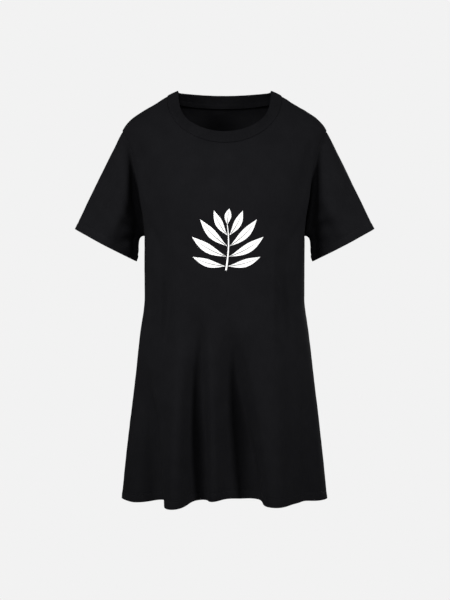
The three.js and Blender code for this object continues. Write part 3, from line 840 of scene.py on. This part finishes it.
def band_points():
    """Rows of the neckband's skin, from its seam up the outside, over the fold and down the inside."""
    ribs = np.sqrt(np.abs(np.sin(np.pi * np.arange(band_count) / RIB_COLUMNS)))
    swell = BAND_SWELL * unevenness(np.arange(band_count) * neck_length / band_count, 0.0, 34, 41)
    half = BAND_THICK / 2
    outside, fold, inside = [], [], []
    for width in BAND_ROWS:
        crown = BAND_CROWN * math.sin(math.pi * width / BAND_WIDTH)
        pull = math.exp(-((width / 1.5) ** 2))
        tuck = max(0, -width / BAND_TUCK)
        rib = RIB_HEIGHT * (1 - 0.75 * math.exp(-max(0, width) / 1.6))
        out = half + crown - BAND_PULL[0] * pull - BAND_SLANT[0] * tuck
        outside.append((width, out, rib, 1.0))
        out = -half + crown + BAND_PULL[1] * pull - BAND_SLANT[1] * tuck
        inside.append((width, out, RIB_HEIGHT, -1.0))
    for turn in np.linspace(0, math.pi, 9)[1:-1]:
        edge = BAND_ROWS[-1] + half * math.sin(turn)
        fold.append((edge, half * math.cos(turn), RIB_HEIGHT, math.cos(turn)))
    points, heights = [], []
    for width, out, rib, facing in outside + fold + inside[::-1]:
        turned = math.sqrt(max(0.0, 1 - facing * facing))
        height = (rib * (ribs - 0.5))[:, None]
        lift = (swell * width / BAND_WIDTH)[:, None]
        skin = band_seam + band_up * (width + height * turned)
        points.append(skin + band_out * (out + height * facing + lift))
        heights.append(width if facing > 0 else 2 * BAND_WIDTH - width)
    return np.array(points), heights


def rib_material():
    """Black cotton 1x1 rib: the same yarn as the jersey, with its colour a little darker as painted shade
    for the shade that the rib's deeper upright furrows hold.
    """
    material = jersey.copy()
    material.name = "black_cotton_rib"
    ramp = next(node for node in material.node_tree.nodes if node.type == "VALTORGB").color_ramp
    # The darker dark stop is painted shade for the rib's furrows, not a colour of the rib's own.
    for stop, shade in zip(ramp.elements, ("#0f0f11", "#151517")):
        stop.color = linear(shade)
    return material


rib = rib_material()
skin, heights = band_points()
high, wide = skin.shape[:2]
index = np.arange(high * wide).reshape(high, wide)
index = np.concatenate([index, index[:1]])
index = np.concatenate([index, index[:, :1]], axis=1)
u = np.broadcast_to(np.arange(wide + 1) * neck_length / wide, index.shape)
v = np.broadcast_to(np.array([*heights, 2 * BAND_WIDTH + 1])[:, None], index.shape)
faces = quads(index).reshape(-1, 4)
corners = quads(np.stack([u, v], axis=-1) * MM).reshape(-1, 4, 2)
if volume(skin.reshape(-1, 3), faces.tolist()) < 0:
    faces, corners = faces[:, ::-1], corners[:, ::-1]
neckband = add_piece(
    "neckband_rib", skin.reshape(-1, 3), faces.tolist(), rib, corners.reshape(-1, 2), 60
)
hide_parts("neckband")


# Neck tape
# A narrow strip of the jersey, folded flat and sewn along both edges over the back neck seam, from one
# shoulder seam to the other, so that the seam doesn't rub.
TAPE_THICK = 0.9
TAPE_OFF = 2.5  # from the middle of the neckband to the middle of the tape
TAPE_END = 11 / 12 * 90  # degrees round the back neckline from its centre
TAPE_STEP = 6  # it follows every sixth point of the neck seam
TAPE_ROWS = [-3, -2.6, -1.9, -1, 0, 1.5, 3, 4.5, 5.6, 6.3, 6.7, 7]  # up from the seam
TAPE_STITCHES = (-1.9, 5.6)

reach = NECK_HALF * math.sin(math.radians(TAPE_END))
on_back = np.flatnonzero((band_seam[:, 1] > 0) & (np.abs(band_seam[:, 0]) <= reach))[::TAPE_STEP]


def tape_surface():
    """Middle surface, directions and cloth coordinates of the tape, from its free upper edge down."""
    rows = []
    along = np.arange(len(on_back)) * neck_length / band_count * TAPE_STEP
    for up in reversed(TAPE_ROWS):
        sewn = 0.22 * sum(bell((up - row) / 0.6) for row in TAPE_STITCHES)
        soft = 0.12 * unevenness(along, 0.0, 12, 52)
        off = (TAPE_OFF - sewn + soft)[:, None]
        rows.append(band_seam[on_back] + band_up[on_back] * up - band_out[on_back] * off)
    middle = np.array(rows)
    normals = np.broadcast_to(-band_out[on_back], middle.shape)
    u, v = np.broadcast_arrays(along, np.array(TAPE_ROWS)[:, None])
    return middle, normals, np.stack([v, u], axis=-1)


tape = add_shell("neck_tape_strip", tape_surface(), thick=TAPE_THICK)
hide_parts("neck_tape")


# Sewing thread
# Spun polyester in black, a little glossier than the jersey. A twin needle sews the hem and the cuffs in
# two rows, one row holds the neck seam down, and two hold the tape. A stitch is 3 mm long.
STITCH = 3.0
STITCH_GAP = 0.35
THREAD = 0.42  # across, drawn about half as thick again as the real thread, so that it shows
THREAD_SIDES = 6
NECK_STITCH = 3.2  # below the neck seam
# Sections of a stitch: the share of its length, and the height over the cloth, where its ends go in.
STITCH_SECTIONS = np.array([0.0, 0.14, 0.5, 0.86, 1.0])
STITCH_LIFT = np.array([-0.32, 0.02, 0.12, 0.02, -0.32])


def thread_material():
    """Black spun polyester thread: smooth and slightly glossy, which sets it off from the cloth."""
    material, tree, shader = start_material("black_polyester_thread")
    place = add_node(tree, "TexCoord").outputs["Object"]
    # The twist of the plies shows as flecks about 0.7 mm long.
    twist = add_node(tree, "TexNoise", {"Vector": place, "Scale": 1500.0, "Detail": 2.0})
    colour = add_node(tree, "ValToRGB", {0: twist})
    for stop, shade in zip(colour.color_ramp.elements, ("#0e0e10", "#161619")):
        stop.color = linear(shade)
    bump = add_node(tree, "Bump", {"Strength": 0.4, "Distance": 0.00008, "Height": twist})
    surface = {"Base Color": colour, "Normal": bump, "Roughness": 0.6, "Specular IOR Level": 0.12}
    set_inputs(shader, surface)
    return material


thread = thread_material()


def add_stitches(name, lines):
    """Stitches along lines, each a row of points with the directions out of the cloth there, in mm."""
    points, faces = [], []
    around = np.arange(THREAD_SIDES) / THREAD_SIDES * 2 * np.pi
    for line, out, closed in lines:
        if closed:
            line, out = (np.concatenate([rows, rows[:1]]) for rows in (line, out))
        run = run_of(line)
        for k in range(int(run[-1] // STITCH)):
            at = k * STITCH + STITCH_SECTIONS * (STITCH - STITCH_GAP)
            centre = interpolate(line, run, at)
            up = unit(interpolate(out, run, at))
            ahead = unit(centre[-1] - centre[0])
            across = unit(np.cross(up, ahead))
            centre = centre + up * STITCH_LIFT[:, None]
            ring = np.cos(around)[:, None, None] * across + np.sin(around)[:, None, None] * up
            first = len(points) * len(STITCH_SECTIONS) * THREAD_SIDES
            points.append((centre + ring * THREAD / 2).transpose(1, 0, 2).reshape(-1, 3))
            for j in range(len(STITCH_SECTIONS) - 1):
                for i in range(THREAD_SIDES):
                    a, b = (first + j * THREAD_SIDES + n % THREAD_SIDES for n in (i, i + 1))
                    faces.append([a, b, b + THREAD_SIDES, a + THREAD_SIDES])
            faces.append([first + i for i in reversed(range(THREAD_SIDES))])
            last = first + (len(STITCH_SECTIONS) - 1) * THREAD_SIDES
            faces.append([last + i for i in range(THREAD_SIDES)])
    return add_piece(name, np.concatenate(points), faces, thread)


def sewn_row(surface, row, thick=JERSEY_THICK, closed=False):
    """A row of a surface's outer skin, as a line to sew along."""
    middle, normals, _ = surface
    return middle[row] + normals[row] * thick / 2, normals[row], closed


def neck_stitch_line(surface):
    """The line on a panel's outer skin along which the neck seam is held down."""
    middle, normals, _ = surface
    line, out = [], []
    for column in np.flatnonzero(np.abs(panel_columns()) <= NECK_COLUMNS):
        run = run_of(middle[::-1, column])
        facing = interpolate(normals[::-1, column], run, NECK_STITCH)
        line.append(interpolate(middle[::-1, column], run, NECK_STITCH) + facing * JERSEY_THICK / 2)
        out.append(facing)
    return np.array(line), np.array(out), False


hem_rows = [HEM_ROWS.index(above) for above in STITCH_ROWS]
tape_rows = [TAPE_ROWS[::-1].index(up) for up in TAPE_STITCHES]
for name, surface in (("front", front_surface), ("back", back_surface)):
    add_stitches(f"hem_stitches_{name}", [sewn_row(surface, row) for row in hem_rows])
for side, surface in sleeve_surfaces.items():
    add_stitches(f"cuff_stitches_{side}", [sewn_row(surface, row, closed=True) for row in hem_rows])
add_stitches("neck_stitches", [neck_stitch_line(front_surface), neck_stitch_line(back_surface)])
add_stitches("tape_stitches", [sewn_row(tape_surface(), row, TAPE_THICK) for row in tape_rows])


# Chest print
# A sprig of paired leaves in opaque white plastisol ink, screen printed on the front. The ink lies as a
# thin film on top of the knit and follows the cloth.
PRINT_CENTRE = (3.0, 305.0)  # across and down
INK_TOP, INK_UNDER = 0.22, 0.04  # the film's faces, above the cloth
INK_ROWS = 30
INK_COLUMNS = 7
STEM_FOOT, STEM_LENGTH, STEM_BOW = 60, 90, 5
# Pairs of leaves: share of the stem, degrees from upright, length and half the width.
LEAF_PAIRS = [(0.08, 87, 68, 7.6), (0.29, 73, 80, 8.8), (0.52, 58, 76, 8.6), (0.76, 41, 56, 7.4)]


def leaf_halves(foot, angle, length, broadest, bend):
    """Both halves of a leaf, as grids of places across and down, with the bare vein between them."""
    s = np.linspace(0, 1, INK_ROWS)[:, None]
    half_width = broadest * np.sin(np.pi * s**1.1) ** 1.1 + 0.02
    vein = 0.75 * (1 - s) ** 0.6 * (half_width > 1.2)
    halves = []
    for hand in (-1, 1):
        t = np.linspace(0, 1, INK_COLUMNS)[None, :]
        aside = hand * lerp(vein, np.maximum(half_width, vein + 0.02), t)
        ahead = length * s + 0 * t
        turn = angle + bend * s
        x = foot[0] + ahead * np.sin(turn) + aside * np.cos(turn)
        y = foot[1] - ahead * np.cos(turn) + aside * np.sin(turn)
        halves.append((x, y))
    return halves


def stem_place(share):
    """The place across and down on the bowed stem, from its foot at share 0 to its tip at share 1."""
    return STEM_BOW * np.sin(share * 2.6), STEM_FOOT - STEM_LENGTH * share


def print_places():
    """Every inked shape of the sprig, as grids of places across and down, centred on 0."""
    share = np.linspace(0, 1, INK_ROWS)[:, None]
    x, y = stem_place(share)
    aside = lerp(1.7, 0.7, share) * np.linspace(-1, 1, 4)
    shapes = [(x + aside, y + 0 * aside)]
    for share, angle, length, broadest in LEAF_PAIRS:
        x, y = stem_place(share)
        for hand in (-1, 1):
            foot = (x + hand * 2.0, y - 1.0)
            shapes += leaf_halves(foot, hand * math.radians(angle), length, broadest, -hand * 0.22)
    return shapes + leaf_halves(stem_place(1), 0.02, 33, 6.4, 0.1)


def add_print(name, material):
    """The printed film as one piece, in which each shape of the sprig is closed all round."""
    points, faces, first = [], [], 0
    for x, y in print_places():
        x, drop = x + PRINT_CENTRE[0], y + PRINT_CENTRE[1]
        base = body_point("front", x, drop)
        out = body_normal("front", base)
        relief = panel_relief("front", FRONT_CREASES, x, drop)[..., None]
        skin = base + out * (relief + JERSEY_THICK / 2)
        film = np.concatenate([(skin + out * off).reshape(-1, 3) for off in (INK_TOP, INK_UNDER)])
        top = np.arange(x.size).reshape(x.shape)
        under = quads(top + x.size)[:, :, ::-1]
        edge = np.concatenate([top[0, :], top[1:, -1], top[-1, -2::-1], top[-2:0:-1, 0]])
        ahead = np.roll(edge, -1)
        sides = np.stack([edge, ahead, ahead + x.size, edge + x.size], axis=1)
        shape = np.concatenate([quads(top).reshape(-1, 4), under.reshape(-1, 4), sides])
        corner, beside, _, below = film[shape[0]]
        if np.cross(beside - corner, below - corner) @ out[0, 0] <= 0:
            shape = shape[:, ::-1]
        faces += (shape + first).tolist()
        points.append(film)
        first += len(film)
    return add_piece(name, np.concatenate(points), faces, material)


def ink_material():
    """White plastisol ink: opaque and satin, with the knit telegraphing through it as a fine dimple."""
    material, tree, shader = start_material("white_plastisol_ink")
    place = add_node(tree, "TexCoord").outputs["Object"]
    # Dimples 1.1 mm apart, between the knit's wales and courses as drawn, and patches 17 mm across
    # where the ink is a little thinner.
    dimple = add_node(tree, "TexVoronoi", {"Vector": place, "Scale": 900.0})
    wear = add_node(tree, "TexNoise", {"Vector": place, "Scale": 60.0, "Detail": 5.0, "Roughness": 0.65})
    colour = add_node(tree, "ValToRGB", {0: wear})
    for stop, (at, shade) in zip(colour.color_ramp.elements, ((0.25, "#ececea"), (0.6, "#fbfbfa"))):
        stop.position = at
        stop.color = linear(shade)
    bump = add_node(tree, "Bump", {"Strength": 0.35, "Distance": 0.0001, "Height": dimple})
    surface = {"Base Color": colour, "Normal": bump, "Roughness": 0.6, "Specular IOR Level": 0.35}
    set_inputs(shader, surface)
    return material


add_print("chest_print", ink_material())


# Studio
# A pale floor below the hanging dress, a pale room, and soft lamps in front and behind. The ones in
# front have grids that narrow their beams, so that the light is fullest at the waist.
PALE = "#f2f2f2"
FLOOR_LEVEL, FLOOR_REACH, FLOOR_SIDES = -1.4, 0.75, 64  # in metres, as all places below


def area_light(name, place, aim, size, power, beam=180):
    """A flat lamp at a place, turned to an aim, with its power in watts and its beam in degrees."""
    light = bpy.data.lights.new(name, "AREA")
    light.shape = "RECTANGLE"
    light.size, light.size_y = size
    light.energy = power
    light.spread = math.radians(beam)
    lamp = bpy.data.objects.new(name, light)
    lamp.location = place
    direction = np.array(aim) - np.array(place)
    lamp.rotation_euler = Vector(direction).to_track_quat("-Z", "Y").to_euler()
    bpy.context.scene.collection.objects.link(lamp)


area_light("key", (-1.45, -1.25, 0.45), (0, 0, -0.52), (0.5, 0.5), 4.6, beam=60)
area_light("fill", (1.7, -1.1, 0.4), (0, 0, -0.52), (0.5, 0.5), 4.6, beam=60)
area_light("front", (-0.3, -2.4, 0.7), (0, 0, -0.4), (0.5, 0.5), 2.5, beam=60)
area_light("behind", (0.7, 2.6, 0.6), (0, 0, -0.42), (1.6, 1.6), 70)

world = bpy.data.worlds.new("pale_room")
world.use_nodes = True
tree = world.node_tree
walls = tree.nodes["Background"]
set_inputs(walls, {"Color": linear(PALE)})
# The room is seen pale, but it lights the cloth less than the lamps do.
glow = add_node(tree, "Background", {"Color": linear(PALE), "Strength": 0.05})
seen = add_node(tree, "LightPath").outputs["Is Camera Ray"]
room = add_node(tree, "MixShader", {0: seen, 1: glow, 2: walls})
set_inputs(tree.nodes["World Output"], {"Surface": room})
bpy.context.scene.world = world
bpy.context.scene.view_settings.view_transform = "Standard"

# A round of matt paper, pale as the room, which shows no shine.
floor_mesh = bpy.data.meshes.new("floor")
turns = [k / FLOOR_SIDES * 2 * math.pi for k in range(FLOOR_SIDES)]
ring = [(FLOOR_REACH * math.cos(turn), FLOOR_REACH * math.sin(turn), FLOOR_LEVEL) for turn in turns]
floor_mesh.from_pydata(ring, [], [list(range(FLOOR_SIDES))])
floor = bpy.data.objects.new("floor", floor_mesh)
bpy.context.scene.collection.objects.link(floor)
paper, _, paper_shader = start_material("pale_paper")
set_inputs(paper_shader, {"Base Color": linear(PALE), "Roughness": 0.9})
floor_mesh.materials.append(paper)

# The camera stands 2.6 m in front of the dress and looks a little down. Its frame is 1.26 m high there,
# which makes 2.1 mm for each of the picture's 600 rows.
SENSOR = 36
CAMERA_BACK, AIM_BELOW, CAMERA_RANGE, FRAME_HIGH = 2.6, 0.131, 2.603, 1.26
camera = bpy.data.objects.new("camera", bpy.data.cameras.new("camera"))
camera.data.sensor_width = SENSOR
camera.data.lens = SENSOR * CAMERA_RANGE / FRAME_HIGH
camera.location = (0.001, -CAMERA_BACK, -0.3)
camera.rotation_euler = (math.pi / 2 - math.atan2(AIM_BELOW, CAMERA_BACK), 0, 0)
bpy.context.scene.collection.objects.link(camera)
bpy.context.scene.camera = camera
